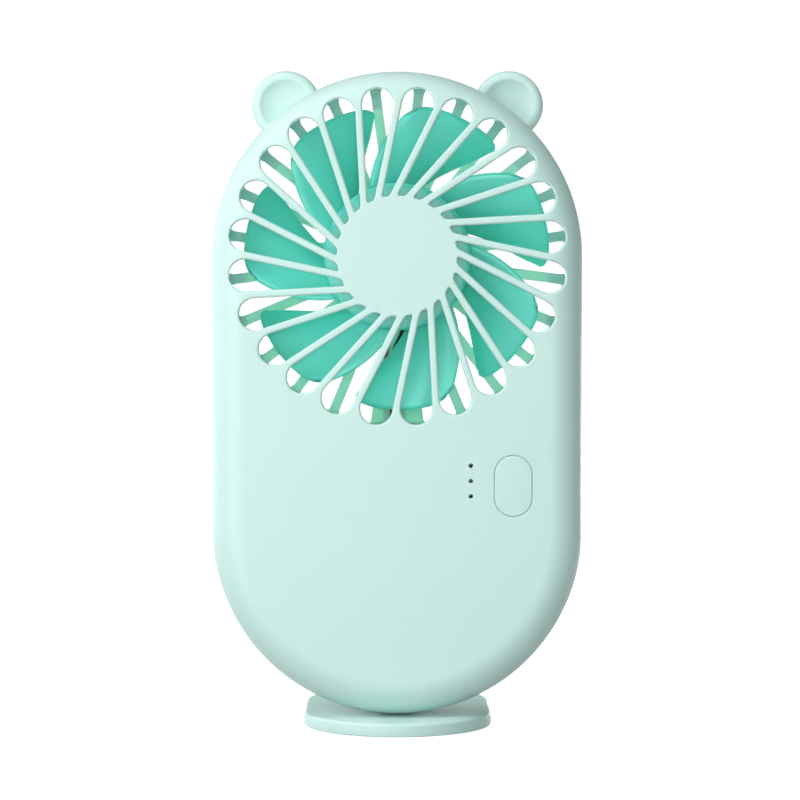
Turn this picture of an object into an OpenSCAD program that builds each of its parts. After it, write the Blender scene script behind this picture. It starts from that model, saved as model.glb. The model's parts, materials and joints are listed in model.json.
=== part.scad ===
// Pocket fan with bear ears, a swirled front grille and a plug-on stand.
// Origin: on the peg's axis, at the underside of the stand's rubber pad.
// +Z is up, -Y is the front, +X is the right hand side seen from the front.
// Pieces of the fan are drawn lying on their back around the grille's centre,
// x right, y up, z to the front, and stood up by the module upright().

/* [Body] */
// Width of the body, the diameter of its two round ends
body_w = 66; // [64:1:70]
// Height of the body
body_h = 114.5; // [112:0.5:124]
// Thickness of the body from front to back
body_t = 24; // [24:0.5:27]
// Radius of the rolled front and back edges
edge_r = 6; // [5:0.5:6.5]
// Thickness of the side walls
wall = 1.6; // [1.4:0.1:1.8]
// Thickness of the front and back faces
face_t = 1.7; // [1.5:0.1:1.8]

/* [Front grille] */
// Number of swirled slots
slot_count = 24; // [20:1:26]
// Radius that the slots reach
slot_reach = 30; // [28:0.5:30.5]
// Radius of the plain disc in the middle
hub_disc_r = 10.7; // [10:0.1:12]
// Width of the ribs between the slots
rib_w = 1.28; // [1.1:0.02:1.5]
// Distance by which each rib's line misses the centre
swirl = 5.4; // [4:0.1:6]
// Direction of the first rib, in degrees
rib_start = 3.1; // [0:0.1:15]

/* [Back grille] */
// Number of rib places around the back opening
back_ribs = 24; // [18:2:28]
// Width of the back ribs
back_rib_w = 1.8; // [1.4:0.1:2]
// Radius of the disc that carries the motor
mount_r = 13.5; // [13.4:0.1:14]

/* [Ears] */
// Radius of an ear
ear_r = 6.2; // [5:0.1:7]
// Distance of an ear's centre from the middle line
ear_x = 20; // [18:0.5:21]
// Height of an ear's centre above the grille's centre
ear_y = 27.2; // [26:0.1:28]
// Thickness of an ear
ear_t = 7; // [5:0.5:9]

/* [Impeller] */
// Number of blades
blade_count = 7; // [5:1:8]
// Radius of the blade tips
blade_tip_r = 27.5; // [25:0.5:28.5]
// Radius of the impeller's hub
hub_r = 13.15; // [13.1:0.05:13.4]
// Thickness of a blade
blade_t = 1.1; // [0.9:0.1:1.4]

/* [Controls] */
// Width of the button
button_w = 6.7; // [6:0.1:7.5]
// Length of the button
button_l = 10.8; // [9:0.1:12]
// Gap around the button
button_gap = 0.15; // [0.15:0.05:0.3]
// Travel of the button
button_travel = 0.5; // [0.3:0.1:0.5]
// Diameter of a light's pinhole
pinhole_d = 0.75; // [0.6:0.05:1]
// Distance from one pinhole to the next
pinhole_pitch = 2.7; // [2.4:0.1:3]

/* [Stand] */
// Width of the stand's plate
plate_w = 33.8; // [30:0.2:40]
// Depth of the stand's plate from front to back
plate_d = 48; // [42:0.5:52]
// Thickness of the plate
plate_t = 2.4; // [2:0.1:4]
// Length of the peg inside the body
peg_l = 8; // [6:0.5:9]
// Width of the peg
peg_w = 6; // [5:0.2:7]
// Thickness of the peg from front to back
peg_t = 4; // [3:0.2:4.4]

/* [Hidden] */
$fn = 64;
body_r = body_w / 2;
centre_drop = body_h - body_w;
half_t = body_t / 2;
inner_r = body_r - wall;
inner_z = half_t - face_t;
cut = 1;

pad_t = 1.1;
pad_proud = 0.3;
body_gap = 0.3;
base_z = pad_proud + plate_t + body_gap;
grille_z = base_z + body_h - body_r;

slot_step = 360 / slot_count;
back_step = 360 / back_ribs;
// The back slots cut this far into the duct's wall, so that no sliver is left.
back_bite = 0.15;
duct_wall = 1.5;

lip_t = 0.75;
lip_h = 1.2;
lip_gap = 0.06;

case_screws_at = [[24.5, -31], [-24.5, -31], [15, -70], [-15, -70]];
board_screws_at = [[-5, -40], [-5, -51]];
button_at = [20.5, -40.6];
lights_at = [13, -39.7];
board_low = [-8, -54.5];
board_size = [38, 18];
board_z = 3.4;
board_t = 1.2;
port_y = -43.5;
port_w = 7.5;
port_h = 2.6;
port_l = 5.4;
battery_size = [40, 28, 7];
battery_low = [-20, -65.5];
foam_t = 0.5;

hub_front_z = 8;
hub_back_z = -6;
hub_skin = 0.85;
blade_mid_z = 1.5;
blade_rise = 3.6;
shaft_r = 1;
motor_r = 10;
motor_front_z = 2.4;
motor_back_z = -inner_z + 0.3;
motor_skin = 0.6;
bush_r = 2;
bush_l = 2.2;
damper_t = 0.6;
collar_t = 1.1;
collar_h = 6;
commutator_r = 2.2;
lead_r = 0.4;
// The motor's leads lie side by side in a channel this far left of the middle line.
channel_x = -0.55;

mint = [0.80, 0.92, 0.90];
teal = [0.33, 0.77, 0.69];

// Stands a lying piece up with the grille's centre at its real height.
module upright() {
    translate([0, 0, grille_z]) rotate([90, 0, 0]) children();
}

function along(a) = [cos(a), sin(a)];
function across(a) = [-sin(a), cos(a)];

// ---- Outer shape -------------------------------------------------------

// Right half of the cross-section of a shell half, from z = low up to its rolled edge.
module half_section(r, depth, edge, low) {
    translate([0, low]) square([r, depth - edge - low]);
    translate([0, low]) square([r - edge, depth - low]);
    translate([r - edge, depth - edge]) circle(edge);
}

// A solid with two round ends, a flat face at z = depth and a rolled edge.
module pill(r, depth, edge, low = 0) {
    rotate_extrude(angle = 180) half_section(r, depth, edge, low);
    translate([0, -centre_drop, 0])
        rotate([0, 0, 180]) rotate_extrude(angle = 180) half_section(r, depth, edge, low);
    rotate([90, 0, 0]) linear_extrude(centre_drop) {
        half_section(r, depth, edge, low);
        mirror([1, 0]) half_section(r, depth, edge, low);
    }
}

// Flat outline with two round ends, as wide as the body at radius r.
module pill_outline(r) {
    circle(r);
    translate([0, -centre_drop]) circle(r);
    translate([-r, -centre_drop]) square([2 * r, centre_drop]);
}

module rounded_bar(w, l) {
    square([w, l - w], center = true);
    translate([0, (l - w) / 2]) circle(w / 2);
    translate([0, (w - l) / 2]) circle(w / 2);
}

module rounded_box_outline(w, h, r) {
    square([w - 2 * r, h], center = true);
    square([w, h - 2 * r], center = true);
    for (x = [-1, 1], y = [-1, 1])
        translate([x * (w / 2 - r), y * (h / 2 - r)]) circle(r);
}

// Walls of one shell half: outer skin, duct ring around the impeller.
module shell_skin() {
    difference() {
        pill(body_r, half_t, edge_r);
        pill(inner_r, inner_z, edge_r - wall, -cut);
    }
    intersection() {
        difference() {
            cylinder(r = inner_r + duct_wall, h = inner_z + face_t / 2);
            translate([0, 0, -cut]) cylinder(r = inner_r, h = body_t);
        }
        translate([0, 0, 0.05]) pill(body_r - 0.2, half_t - 0.2, edge_r - 0.2);
    }
}

// ---- Front shell -------------------------------------------------------

// One swirled slot lies between two straight ribs one step apart, and ends in a circle
// that touches both ribs and the reach of the grille.
near_off = swirl + rib_w / 2;
far_off = swirl - rib_w / 2;
apex_t = (near_off * cos(slot_step) - far_off) / sin(slot_step);
apex = [apex_t, near_off];
flare = 1 / sin(slot_step / 2);
apex_out = apex * along(slot_step / 2);
qa = flare * flare - 1;
qb = 2 * flare * apex_out + 2 * slot_reach;
qc = apex * apex - slot_reach * slot_reach;
end_r = (-qb + sqrt(qb * qb - 4 * qa * qc)) / (2 * qa);
end_at = apex + flare * end_r * along(slot_step / 2);

module swirl_slot() {
    difference() {
        union() {
            polygon([apex, end_at - end_r * across(0), end_at + end_r * across(slot_step)]);
            translate(end_at) circle(end_r);
        }
        circle(hub_disc_r);
    }
}

module swirl_slots() {
    for (i = [0:slot_count - 1])
        rotate(rib_start + i * slot_step) swirl_slot();
}

module screw_boss(r, low, high, bore_r) {
    difference() {
        translate([0, 0, low]) cylinder(r = r, h = high - low);
        translate([0, 0, low - cut]) cylinder(r = bore_r, h = high - low - 0.5);
    }
}

module seam_lip() {
    difference() {
        translate([0, 0, -lip_h]) linear_extrude(lip_h + 1.5) difference() {
            pill_outline(inner_r + lip_t);
            pill_outline(inner_r);
        }
        for (side = [-1, 1]) ear_notch(side);
        translate([0, -centre_drop - body_r, 0]) cube([12, 12, 12], center = true);
    }
}

module front_shell() {
    color(mint) upright() difference() {
        union() {
            shell_skin();
            seam_lip();
            for (at = case_screws_at)
                translate(at) screw_boss(2.2, 0.1, inner_z + 0.5, 0.8);
            for (at = board_screws_at)
                translate(at) screw_boss(2, board_z + board_t, inner_z + 0.5, 0.65);
        }
        translate([0, 0, inner_z - edge_r]) linear_extrude(body_t) swirl_slots();
        translate([button_at[0], button_at[1], inner_z - cut]) linear_extrude(4)
            rounded_bar(button_w + 2 * button_gap, button_l + 2 * button_gap);
        for (i = [-1:1])
            translate([lights_at[0], lights_at[1] + i * pinhole_pitch, inner_z - cut])
                cylinder(d = pinhole_d, h = 4);
        for (side = [-1, 1]) ear_notch(side);
        port_window();
        socket_window();
    }
}

// ---- Rear shell --------------------------------------------------------

module back_slot() {
    intersection() {
        difference() {
            circle(inner_r + back_bite);
            circle(mount_r);
        }
        polygon([
            [back_rib_w / 2 / sin(back_step / 2), 0],
            2 * body_r * along(back_step / 2) + [back_rib_w / 2 / sin(back_step / 2), 0],
            2 * body_r * along(-back_step / 2) + [back_rib_w / 2 / sin(back_step / 2), 0]
        ]);
    }
}

// The slot at six o'clock stays closed: that strut carries the motor's leads.
module back_slots() {
    for (i = [1:back_ribs - 1])
        rotate(-90 + i * back_step) back_slot();
}

module rear_shell() {
    color(mint) upright() difference() {
        union() {
            mirror([0, 0, 1]) shell_skin();
            for (at = case_screws_at)
                translate([at[0], at[1], -inner_z - 0.5]) cylinder(r = 3, h = inner_z);
            motor_collar();
            lead_ridges();
        }
        seam_rebate();
        translate([0, 0, -body_t]) linear_extrude(body_t - inner_z + edge_r - wall) back_slots();
        for (at = case_screws_at) translate([at[0], at[1], -half_t]) {
            translate([0, 0, -cut]) cylinder(r = 1.9, h = 4 + cut);
            cylinder(r = 1, h = half_t);
        }
        translate([channel_x, -inner_r - 0.2, -inner_z + 1.1]) cube([3.4, 5, 2.2], center = true);
        for (side = [-1, 1]) ear_notch(side);
        socket_window();
    }
}

module motor_collar() {
    difference() {
        translate([0, 0, -inner_z - 0.5])
            cylinder(r = motor_r + damper_t + collar_t + 0.1, h = collar_h);
        translate([0, 0, -inner_z]) cylinder(r = motor_r + damper_t + 0.05, h = collar_h);
        translate([0, -motor_r - 1, -inner_z + 1.5]) cube([6.4, 6, 3], center = true);
    }
}

module lead_ridges() {
    for (side = [-1, 1])
        translate([channel_x + side * 1.6 - 0.3, -inner_r - 0.2, -inner_z - 0.3])
            cube([0.6, 9, 1.1]);
}

module seam_rebate() {
    translate([0, 0, -lip_h - 0.1]) linear_extrude(lip_h + 1) difference() {
        pill_outline(inner_r + lip_t + lip_gap);
        pill_outline(inner_r - lip_gap);
    }
}

// ---- Ears --------------------------------------------------------------

// Slot at the seam that an ear's tongue passes through.
module ear_notch(side) {
    rotate(side * (atan2(ear_x, ear_y)) * -1) translate([0, body_r - wall / 2, 0])
        cube([6.1, wall + 2, 2.1], center = true);
}

module ear(side) {
    turn = -side * atan2(ear_x, ear_y);
    difference() {
        translate([side * ear_x, ear_y, 0]) rotate_extrude() {
            square([ear_r - 1.5, ear_t / 2 - 0.01]);
            mirror([0, 1]) square([ear_r - 1.5, ear_t / 2 - 0.01]);
            translate([0, -ear_t / 2 + 1.5]) square([ear_r, ear_t - 3]);
            for (z = [-1, 1])
                translate([ear_r - 1.5, z * (ear_t / 2 - 1.5)]) circle(1.5);
        }
        for (z = [-1, 1])
            translate([side * ear_x, ear_y, z * (ear_t / 2 + 9.2)]) sphere(r = 10.2);
        translate([0, 0, -ear_t]) cylinder(r = body_r + 0.03, h = 2 * ear_t);
    }
    rotate(turn) {
        translate([-3, inner_r - 0.5, -1]) cube([6, wall + 2.5, 2]);
        rotate([0, 0, 90 - 8]) translate([0, 0, -1]) rotate_extrude(angle = 16)
            translate([inner_r - 0.8, 0]) square([0.75, 2]);
    }
}

module ear_left() {
    color(mint) upright() ear(-1);
}

module ear_right() {
    color(mint) upright() ear(1);
}

// ---- Impeller ----------------------------------------------------------

// A blade is a sheet between a front edge line and a back edge line. u runs from the
// hub (0) to the tip (1), v runs from the leading edge (0) to the trailing edge (1).
blade_rows = 9;
blade_cols = 8;
blade_root_r = hub_r - hub_skin / 2;
function blade_r(u) = blade_root_r + u * (blade_tip_r - blade_root_r);
function lead_angle(u) = 47.5 + 25 * pow(1 - u, 1.8);
function trail_angle(u) = 83 + 30 * (1 - u);
// The two tip corners are rounded by drawing the tip back near v = 0 and v = 1.
function tip_draw(u, v) = u < 0.85 ? 0 : (u - 0.85) / 0.15 * (1 - sqrt(1 - pow(abs(2 * v - 1), 6))) * 1.6;
function blade_angle(u, v) = lead_angle(u) + v * (trail_angle(u) - lead_angle(u));
function blade_z(u, v) = blade_mid_z + blade_rise * (2 * v - 1) + 0.9 * sin(180 * v);
function blade_point(u, v, off) =
    let (r = blade_r(u) - tip_draw(u, v), a = blade_angle(u, v))
    [r * cos(a), r * sin(a), blade_z(u, v) + off];
function blade_face(off) =
    [for (i = [0:blade_rows - 1], j = [0:blade_cols - 1])
        blade_point(i / (blade_rows - 1), j / (blade_cols - 1), off)];

function spot(layer, i, j) = layer * blade_rows * blade_cols + i * blade_cols + j;

module blade() {
    last_i = blade_rows - 1;
    last_j = blade_cols - 1;
    top_faces = [for (i = [0:last_i - 1], j = [0:last_j - 1], half = [0, 1])
        half == 0 ? [spot(1, i, j), spot(1, i + 1, j + 1), spot(1, i + 1, j)]
                  : [spot(1, i, j), spot(1, i, j + 1), spot(1, i + 1, j + 1)]];
    low_faces = [for (i = [0:last_i - 1], j = [0:last_j - 1], half = [0, 1])
        half == 0 ? [spot(0, i, j), spot(0, i + 1, j), spot(0, i + 1, j + 1)]
                  : [spot(0, i, j), spot(0, i + 1, j + 1), spot(0, i, j + 1)]];
    lead_faces = [for (i = [0:last_i - 1])
        [spot(0, i, 0), spot(1, i, 0), spot(1, i + 1, 0), spot(0, i + 1, 0)]];
    trail_faces = [for (i = [0:last_i - 1])
        [spot(0, i, last_j), spot(0, i + 1, last_j), spot(1, i + 1, last_j), spot(1, i, last_j)]];
    root_faces = [for (j = [0:last_j - 1])
        [spot(0, 0, j), spot(0, 0, j + 1), spot(1, 0, j + 1), spot(1, 0, j)]];
    tip_faces = [for (j = [0:last_j - 1])
        [spot(0, last_i, j), spot(1, last_i, j), spot(1, last_i, j + 1), spot(0, last_i, j + 1)]];
    polyhedron(
        points = concat(blade_face(-blade_t / 2), blade_face(blade_t / 2)),
        faces = concat(top_faces, low_faces, lead_faces, trail_faces, root_faces, tip_faces),
        convexity = 4
    );
}

module impeller() {
    color(teal) upright() {
        difference() {
            translate([0, 0, hub_back_z]) rotate_extrude() polygon([
                [0, 0], [hub_r, 0], [hub_r, hub_front_z - hub_back_z - 0.6],
                [hub_r - 0.6, hub_front_z - hub_back_z], [0, hub_front_z - hub_back_z]
            ]);
            translate([0, 0, hub_back_z - cut])
                cylinder(r = hub_r - hub_skin, h = hub_front_z - hub_back_z - 1.2 + cut);
        }
        difference() {
            translate([0, 0, 3.3]) cylinder(r = 3, h = hub_front_z - 3.3 - 1);
            translate([0, 0, 3]) cylinder(r = shaft_r + 0.01, h = 4.2);
        }
        for (i = [0:blade_count - 1]) rotate(i * 360 / blade_count) blade();
    }
}

// ---- Motor -------------------------------------------------------------

module ring(outer, inner, low, high) {
    translate([0, 0, low]) difference() {
        cylinder(r = outer, h = high - low);
        translate([0, 0, -cut]) cylinder(r = inner, h = high - low + 2 * cut);
    }
}

module motor_can() {
    color("silver") upright() difference() {
        union() {
            ring(motor_r, motor_r - motor_skin, motor_back_z, motor_front_z);
            ring(motor_r - 0.3, bush_r + 0.01, motor_front_z - motor_skin, motor_front_z);
            ring(bush_r + 0.6, bush_r + 0.01, motor_front_z + 0.6 - bush_l, motor_front_z + 0.6);
        }
        translate([0, -motor_r, motor_back_z + 0.5]) cube([5.4, 4, 3.2], center = true);
    }
}

end_cap_top = motor_back_z + 1.8;

module motor_end_cap() {
    color("dimgray") upright() difference() {
        union() {
            translate([0, 0, motor_back_z])
                cylinder(r = motor_r - motor_skin - 0.02, h = end_cap_top - motor_back_z);
            translate([-2.5, -motor_r - 1.4, motor_back_z]) cube([5, 4, 1.6]);
        }
        translate([0, 0, motor_back_z - cut]) cylinder(r = bush_r + 0.01, h = 4);
        for (x = [-1, 1]) translate([x * 1.2 - 0.52, -motor_r - 2, motor_back_z + 0.58])
            cube([1.04, 3.02, 0.44]);
    }
}

module motor_magnets() {
    color("dimgray") upright() for (turn = [20, 200]) rotate(turn)
        translate([0, 0, end_cap_top + 0.6]) rotate_extrude(angle = 140)
            translate([8.3, 0]) square([1.05, motor_front_z - 2 - end_cap_top]);
}

module motor_bushes() {
    color("goldenrod") upright() {
        ring(bush_r, shaft_r + 0.03, motor_front_z + 0.6 - bush_l, motor_front_z + 0.6);
        ring(bush_r, shaft_r + 0.03, motor_back_z, end_cap_top);
    }
}

module motor_shaft() {
    color("silver") upright() translate([0, 0, motor_back_z + 0.2])
        cylinder(r = shaft_r, h = hub_front_z - 1.3 - motor_back_z - 0.2);
}

core_low = end_cap_top + 2.2;
core_high = motor_front_z - 2.4;

module rotor_core() {
    color("slategray") upright() translate([0, 0, core_low]) linear_extrude(core_high - core_low)
        difference() {
            union() {
                circle(3);
                for (turn = [0, 120, 240]) rotate(turn) {
                    translate([0, -1.1]) square([7.2, 2.2]);
                    intersection() {
                        difference() {
                            circle(7.9);
                            circle(6.5);
                        }
                        polygon([[0, 0], 20 * along(50), [20, 0], 20 * along(-50)]);
                    }
                }
            }
            circle(shaft_r + 0.01);
        }
}

module rotor_windings() {
    color("chocolate") upright() for (turn = [0, 120, 240]) rotate(turn)
        translate([3.25, 0, core_low]) difference() {
            translate([0, -2.6, -0.55]) cube([2.6, 5.2, core_high - core_low + 1.1]);
            translate([-cut, -1.13, -0.03]) cube([5, 2.26, core_high - core_low + 0.06]);
        }
}

module commutator() {
    color("peru") upright()
        ring(commutator_r, shaft_r + 0.01, end_cap_top + 0.2, end_cap_top + 1.4);
}

module motor_brushes() {
    color("peru") upright() for (side = [-1, 1])
        translate([side * (commutator_r + 0.35) - 0.25, -1.6, end_cap_top])
            cube([0.5, 5.2, 1.2]);
}

module motor_terminals() {
    color("goldenrod") upright() for (side = [-1, 1])
        translate([side * 1.2 - 0.5, -motor_r - 1.9, motor_back_z + 0.6]) cube([1, 2.9, 0.4]);
}

module motor_damper() {
    color("black") upright() difference() {
        ring(motor_r + damper_t, motor_r + 0.02, -inner_z + 0.02, -inner_z + 4.5);
        translate([0, -motor_r - 1, -inner_z + 1.5]) cube([6.4, 6, 3.4], center = true);
    }
}

// ---- Electronics -------------------------------------------------------

module circuit_board() {
    color("seagreen") upright() difference() {
        translate([board_low[0], board_low[1], board_z])
            cube([board_size[0], board_size[1], board_t]);
        for (at = board_screws_at) translate([at[0], at[1], 0]) cylinder(r = 0.8, h = 10);
    }
}

module chip(x, y, w, l, h) {
    translate([x - w / 2, y - l / 2, board_z - h]) cube([w, l, h]);
}

module control_chips() {
    color([0.1, 0.1, 0.11]) upright() {
        chip(2, -41, 5, 4, 1.5);
        chip(2, -50, 4, 5, 1.5);
        chip(12, -48, 3, 3, 1);
    }
}

module board_components() {
    color("tan") upright() {
        for (i = [0:3]) chip(7.5 + 2.6 * i, -39.5, 1.2, 2, 0.7);
        for (i = [0:2]) chip(8 + 3 * i, -52.4, 2, 1.2, 0.7);
        translate([19, -46.5, board_z - 2.2]) cylinder(r = 2.2, h = 2.2);
    }
}

module port_outline(grow) {
    w = port_w / 2 + grow;
    h = port_h / 2 + grow;
    polygon([[-w, h], [w, h], [w, -h + 1], [w - 1.1, -h], [-w + 1.1, -h], [-w, -h + 1]]);
}

// Runs along +x out through the side wall.
module along_port(start, length) {
    translate([start, port_y, board_z - port_h / 2 - 0.02])
        rotate([90, 0, 90]) linear_extrude(length) children();
}

port_mouth = body_r - 0.8;

module port_window() {
    along_port(inner_r - 3, 8) port_outline(0.35);
}

module usb_port() {
    color("silver") upright() difference() {
        along_port(port_mouth - port_l, port_l) port_outline(0);
        along_port(port_mouth - port_l + 0.5, port_l) port_outline(-0.3);
    }
}

module usb_tongue() {
    color("black") upright() translate([0, 0, 0.15])
        along_port(port_mouth - port_l + 0.5, port_l - 1.2) square([4.4, 0.7], center = true);
}

switch_top = board_z + board_t + 3.1;
dome_low = switch_top - 1.9;
dome_t = 0.2;

module switch_body() {
    color("dimgray") upright() difference() {
        translate([button_at[0] - 3, button_at[1] - 3, board_z + board_t]) cube([6, 6, 3.1]);
        translate([button_at[0], button_at[1], dome_low]) cylinder(r = 1.75, h = 4);
    }
}

module switch_dome() {
    color("silver") upright() translate([button_at[0], button_at[1], dome_low])
        cylinder(r = 1.6, h = dome_t);
}

// Pressed in fully, the plunger stops 0.1 mm above the dome.
module switch_plunger() {
    low = dome_low + dome_t + button_travel + 0.1;
    color("white") upright() translate([button_at[0], button_at[1], low])
        cylinder(r = 1.6, h = switch_top + 1.5 - low);
}

module button_cap() {
    color(mint) upright() translate([button_at[0], button_at[1], 0]) {
        translate([0, 0, inner_z - 0.2]) linear_extrude(face_t + 0.2)
            rounded_bar(button_w, button_l);
        translate([0, 0, inner_z - 0.9]) linear_extrude(0.8)
            rounded_bar(button_w + 1.6, button_l + 1.6);
        translate([0, 0, switch_top + 1.55])
            cylinder(r = 1.5, h = inner_z - 0.5 - switch_top - 1.55);
    }
}

module charge_lights() {
    color("white") upright() for (i = [-1:1])
        translate([lights_at[0] - 0.8, lights_at[1] + i * pinhole_pitch - 0.4, board_z + board_t])
            cube([1.6, 0.8, 0.6]);
}

module light_baffle() {
    low = board_z + board_t + 0.03;
    color([0.05, 0.05, 0.06]) upright() difference() {
        translate([lights_at[0] - 1.7, lights_at[1] - 4.3, low]) cube([3.4, 8.6, inner_z - low - 0.03]);
        for (i = [-1:1]) translate([lights_at[0], lights_at[1] + i * pinhole_pitch, low - cut]) {
            cylinder(r = 0.55, h = body_t);
            translate([-1, -0.55, 0]) cube([2, 1.1, 0.8 + cut]);
        }
    }
}

battery_z = -inner_z + foam_t + 0.04;

module battery_cell() {
    r = 2;
    color("silver") upright()
        translate([battery_low[0], battery_low[1], battery_z + battery_size[2] / 2])
        translate([0, battery_size[1] / 2, 0]) rotate([90, 0, 90]) linear_extrude(battery_size[0])
            rounded_box_outline(battery_size[1], battery_size[2], r);
}

module battery_foam() {
    color("gray") upright() translate([battery_low[0] + 3, battery_low[1] + 3, -inner_z + 0.02])
        cube([battery_size[0] - 6, battery_size[1] - 6, foam_t]);
}

// ---- Leads -------------------------------------------------------------

// A round lead swept along its route's points.
function unit(v) = v / norm(v);
function heading(route, i) = let (n = len(route) - 1)
    unit(route[min(i + 1, n)] - route[max(i - 1, 0)]);
function side_of(d) = unit(cross(d, abs(d[0]) < 0.8 ? [1, 0, 0] : [0, 1, 0]));
function lead_ring(at, d, r) = let (s = side_of(d), t = cross(d, s))
    [for (k = [0:7]) at + r * (cos(45 * k) * s + sin(45 * k) * t)];

module lead(route, r = lead_r) {
    rings = len(route);
    points = [for (i = [0:rings - 1], p = lead_ring(route[i], heading(route, i), r)) p];
    walls = [for (i = [0:rings - 2], k = [0:7])
        [8 * i + k, 8 * i + (k + 1) % 8, 8 * (i + 1) + (k + 1) % 8, 8 * (i + 1) + k]];
    polyhedron(
        points = points,
        faces = concat([[for (k = [7:-1:0]) k]], walls, [[for (k = [0:7]) 8 * (rings - 1) + k]]),
        convexity = 6
    );
}

// The motor's leads start at its two terminals and close up towards the channel; their
// two routes are mirror images about the channel's line from there to the board.
strut_z = -inner_z + 0.75;
function motor_lead_route(side) = let (x = channel_x + side * 0.44) [
    [side * 1.2, -11.92, motor_back_z + 0.8], [side * 1.2, -12.8, motor_back_z + 0.8],
    [side * 0.9 - 0.3, -14.5, strut_z], [side * 0.5 - 1.6, -18, strut_z],
    [x - 0.5, -21, strut_z], [x, -25, strut_z], [x, -29, strut_z], [x, -33.4, strut_z],
    [x, -35, strut_z + 0.8], [x, -36, strut_z + 2.4], [x, -36.3, -3],
    [x, -36.6, -0.5], [x, -37.2, 1.2], [x, -37.5, 2.2], [x, -37.5, board_z - 0.03]
];
battery_lead_route = [
    [0, -37.48, -6.2], [0, -36.9, -6.2], [0, -36, -5.2], [0, -35.7, -3.6], [0, -35.7, -1.5],
    [0, -36.2, 0.4], [0, -37.1, 1.5], [0, -37.5, 2.4], [0, -37.5, board_z - 0.03]
];
function shifted(route, x) = [for (p = route) p + [x, 0, 0]];

module motor_lead_red() {
    color("crimson") upright() lead(motor_lead_route(-1));
}

module motor_lead_black() {
    color([0.1, 0.1, 0.1]) upright() lead(motor_lead_route(1));
}

module battery_lead_red() {
    color("crimson") upright() lead(shifted(battery_lead_route, 14));
}

module battery_lead_black() {
    color([0.1, 0.1, 0.1]) upright() lead(shifted(battery_lead_route, 17));
}

// ---- Fasteners ---------------------------------------------------------

module screw(head_r, head_h, shank_r, length) {
    difference() {
        translate([0, 0, -head_h]) cylinder(r = head_r, h = head_h);
        for (turn = [0, 90]) rotate(turn) translate([0, 0, -head_h])
            cube([head_r * 1.2, 0.4, head_h], center = true);
    }
    cylinder(r = shank_r, h = length);
}

module case_screws() {
    color("silver") upright() for (at = case_screws_at)
        translate([at[0], at[1], -half_t + 4 - 0.02]) screw(1.7, 1.1, 0.78, 13);
}

module board_screws() {
    color("silver") upright() for (at = board_screws_at)
        translate([at[0], at[1], board_z - 0.02]) screw(1.5, 0.9, 0.62, 5);
}

// ---- Stand -------------------------------------------------------------

socket_w = peg_w + 3.4;
socket_t = peg_t + 3;
socket_l = peg_l + 2;
peg_gap = 0.15;
flange_t = 1.2;
// The sleeve's flange rests inside the round bottom wall.
flange_lift = body_r - sqrt(pow(inner_r, 2) - pow(socket_w / 2 + 2, 2)) + flange_t / 2 + 0.05;

// Square window through both shells for the socket sleeve.
module socket_window() {
    translate([0, -centre_drop - body_r, 0])
        cube([socket_w + 0.06, 8, socket_t + 0.06], center = true);
}

module stand_socket() {
    color("dimgray") upright() difference() {
        intersection() {
            translate([0, -centre_drop - body_r + socket_l / 2, 0]) union() {
                cube([socket_w, socket_l, socket_t], center = true);
                translate([0, flange_lift - socket_l / 2, 0])
                    cube([socket_w + 4, flange_t, socket_t + 4], center = true);
            }
            linear_extrude(body_t, center = true) pill_outline(body_r - 0.1);
        }
        translate([0, -centre_drop - body_r - cut, 0]) rotate([-90, 0, 0])
            linear_extrude(peg_l + 0.6 + cut)
                rounded_box_outline(peg_w + 2 * peg_gap, peg_t + 2 * peg_gap, 1);
    }
}

// Oval around the peg's axis in front and a second centre behind it.
module plate_outline(w) {
    circle(w / 2);
    translate([0, plate_d - plate_w]) circle(w / 2);
    translate([-w / 2, 0]) square([w, plate_d - plate_w]);
}

module stand_plate() {
    bevel = 0.5;
    color(mint) difference() {
        union() {
            translate([0, 0, pad_proud]) linear_extrude(plate_t - bevel)
                plate_outline(plate_w);
            for (back = [0, 1]) translate([0, back * (plate_d - plate_w), base_z - body_gap - bevel])
                cylinder(r1 = plate_w / 2, r2 = plate_w / 2 - bevel, h = bevel);
            translate([0, 0, base_z - body_gap - bevel]) rotate([-90, 0, 0])
                linear_extrude(plate_d - plate_w) polygon([
                    [-plate_w / 2, 0], [plate_w / 2, 0],
                    [plate_w / 2 - bevel, -bevel], [-plate_w / 2 + bevel, -bevel]
                ]);
            translate([0, 0, base_z - body_gap - 0.5])
                linear_extrude(body_gap + 0.5 + peg_l) rounded_box_outline(peg_w, peg_t, 1);
        }
        translate([0, 0, -cut]) linear_extrude(pad_t + 0.02 + cut)
            plate_outline(plate_w - 5);
    }
}

module stand_pad() {
    color([0.75, 0.78, 0.77]) linear_extrude(pad_t) plate_outline(plate_w - 5.1);
}

front_shell();
rear_shell();
ear_left();
ear_right();
impeller();
motor_can();
motor_end_cap();
motor_magnets();
motor_bushes();
motor_brushes();
motor_terminals();
motor_damper();
motor_shaft();
rotor_core();
rotor_windings();
commutator();
circuit_board();
control_chips();
board_components();
usb_port();
usb_tongue();
switch_body();
switch_dome();
switch_plunger();
button_cap();
charge_lights();
light_baffle();
battery_cell();
battery_foam();
motor_lead_red();
motor_lead_black();
battery_lead_red();
battery_lead_black();
case_screws();
board_screws();
stand_socket();
stand_plate();
stand_pad();
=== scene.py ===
import json
import math

import bpy
import numpy as np
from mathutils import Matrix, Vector
from mathutils.geometry import delaunay_2d_cdt


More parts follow.
